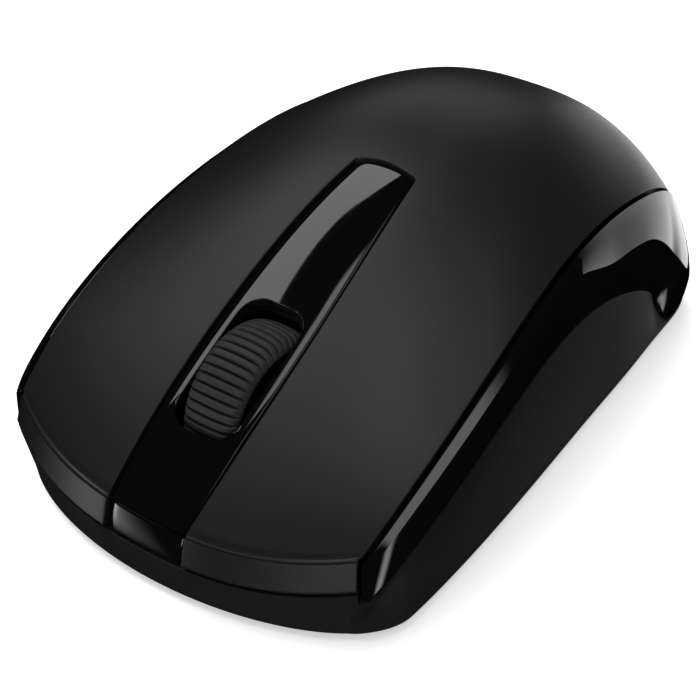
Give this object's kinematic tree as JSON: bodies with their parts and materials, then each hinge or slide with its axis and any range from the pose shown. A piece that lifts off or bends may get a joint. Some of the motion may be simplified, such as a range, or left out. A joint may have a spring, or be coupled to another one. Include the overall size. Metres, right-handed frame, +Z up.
{
  "type": "computer mouse",
  "caption": "Compact cordless optical mouse: low domed shell, two click buttons, ribbed scroll wheel that also clicks, glossy strip and side trims, battery door and power slider underneath.",
  "frame": {"origin": "middle of the outline on the desk plane, under the glide feet", "axes": "+X towards the thumb side of a right hand, +Y from the buttons towards the palm end, +Z up"},
  "size_m": [0.0592, 0.1005, 0.0385],
  "materials": {
    "cover_matte": "fine matte, slightly velvety",
    "case_matte": "fine spark-eroded texture",
    "gloss_black": "polished piano black",
    "wheel_rubber": "soft ribbed rubber",
    "inner_plastic": "plain moulded",
    "glide": "smooth low-friction pad",
    "board": "solder-masked glass epoxy",
    "chip_black": "moulded resin",
    "plunger_cream": "plain moulded",
    "steel": "plated",
    "clear_lens": "clear polished",
    "infrared_dark": "dark tinted resin",
    "cell_wrap": "shrink-wrapped film"
  },
  "bodies": {
    "case": {"lower_case": "case_matte", "palm_cover": "cover_matte", "center_strip": "gloss_black", "left_side_trim": "gloss_black", "right_side_trim": "gloss_black", "front_left_foot": "glide", "front_right_foot": "glide", "rear_left_foot": "glide", "rear_right_foot": "glide", "main_board": "board", "left_microswitch": "chip_black", "right_microswitch": "chip_black", "middle_switch": "chip_black", "optical_sensor": "chip_black", "sensor_lens": "clear_lens", "tracking_light": "clear_lens", "beam_emitter": "infrared_dark", "beam_receiver": "infrared_dark", "radio_chip": "chip_black", "crystal": "steel", "capacitor": "cell_wrap", "battery_cell": "cell_wrap", "positive_contact": "steel", "negative_contact": "steel", "receiver_cap": "inner_plastic", "receiver_plug": "steel", "power_switch_body": "chip_black", "left_case_screw": "steel", "right_case_screw": "steel", "left_board_screw": "steel", "right_board_screw": "steel"},
    "left_button": {"left_button": "cover_matte"},
    "right_button": {"right_button": "cover_matte"},
    "left_plunger": {"left_plunger": "plunger_cream"},
    "right_plunger": {"right_plunger": "plunger_cream"},
    "carriage": {"wheel_carriage": "inner_plastic", "detent_spring": "steel"},
    "wheel": {"wheel_tyre": "wheel_rubber", "wheel_hub": "inner_plastic"},
    "middle_plunger": {"middle_plunger": "plunger_cream"},
    "battery_door": {"battery_door": "case_matte"},
    "power_slider": {"power_slider": "plunger_cream"}
  },
  "joints": [
    {"name": "left_press", "type": "hinge", "parent": "case", "child": "left_button", "pos_m": [0.015, -0.0024, 0.034], "axis": [1, 0, 0], "range_deg": [0, 0.55], "stiffness_Nm_per_rad": 1.2},
    {"name": "right_press", "type": "hinge", "parent": "case", "child": "right_button", "pos_m": [-0.015, -0.0024, 0.034], "axis": [1, 0, 0], "range_deg": [0, 0.55], "stiffness_Nm_per_rad": 1.2},
    {"name": "left_switch_travel", "type": "slide", "parent": "case", "child": "left_plunger", "axis": [0, 0, -1], "range_m": [0, 0.0004]},
    {"name": "right_switch_travel", "type": "slide", "parent": "case", "child": "right_plunger", "axis": [0, 0, -1], "range_m": [0, 0.0004]},
    {"name": "wheel_click", "type": "slide", "parent": "case", "child": "carriage", "axis": [0, 0, -1], "range_m": [0, 0.0005], "stiffness_N_per_m": 1500},
    {"name": "wheel_spin", "type": "hinge", "parent": "carriage", "child": "wheel", "pos_m": [0, -0.028, 0.0148], "axis": [1, 0, 0], "continuous": true},
    {"name": "middle_switch_travel", "type": "slide", "parent": "case", "child": "middle_plunger", "axis": [0, 0, -1], "range_m": [0, 0.0005]},
    {"name": "door_swing", "type": "hinge", "parent": "case", "child": "battery_door", "pos_m": [0, -0.0047, 0.0008], "axis": [-1, 0, 0], "range_deg": [0, 100]},
    {"name": "power_slide", "type": "slide", "parent": "case", "child": "power_slider", "axis": [0, 1, 0], "range_m": [0, 0.002]}
  ],
  "couplings": [
    {"joint": "left_switch_travel", "follows": "left_press", "m_per_rad": 0.0355},
    {"joint": "right_switch_travel", "follows": "right_press", "m_per_rad": 0.0355},
    {"joint": "middle_switch_travel", "follows": "wheel_click", "ratio": 1}
  ]
}
